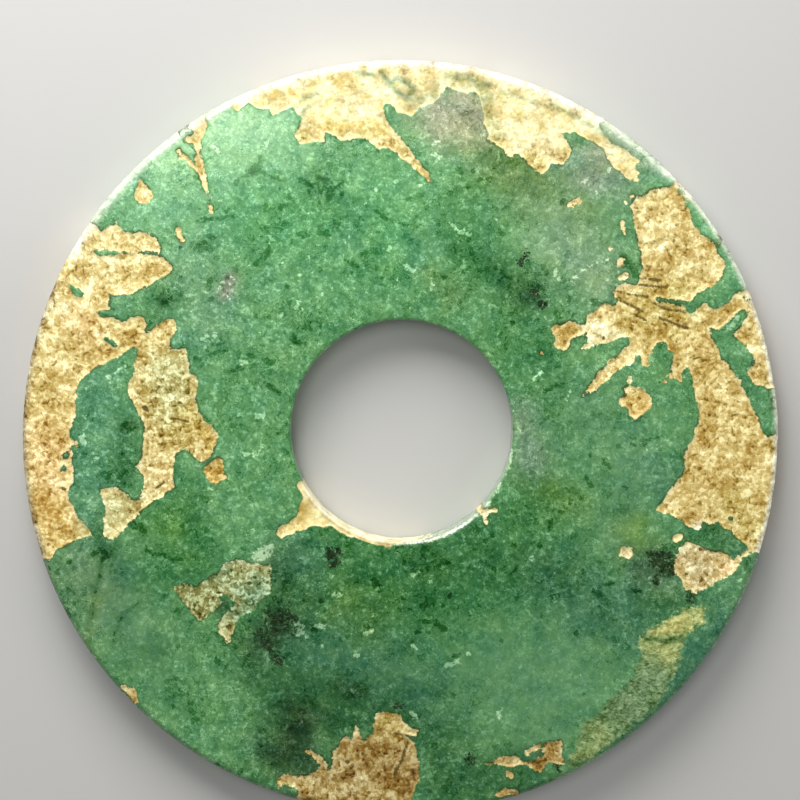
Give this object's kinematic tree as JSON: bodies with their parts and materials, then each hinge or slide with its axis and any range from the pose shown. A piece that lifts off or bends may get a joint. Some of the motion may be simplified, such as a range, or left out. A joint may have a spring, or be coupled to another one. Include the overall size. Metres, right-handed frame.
{
  "type": "jade disc pendant",
  "caption": "Flat polished jade ring with a round central bore, rounded edges and patches of its own tan matrix left in both faces.",
  "frame": {"origin": "centre of the ring's round outline, at the underside that it lies on", "axes": "+Z up, square to the two faces; +X to the right and +Y up as the front face is seen in the picture"},
  "size_m": [0.1, 0.1, 0.006],
  "materials": {
    "jade": "polished mottled green jade with duller, grainy tan and cream matrix"
  },
  "bodies": {
    "root": {"jade_disc": "jade"}
  },
  "joints": []
}
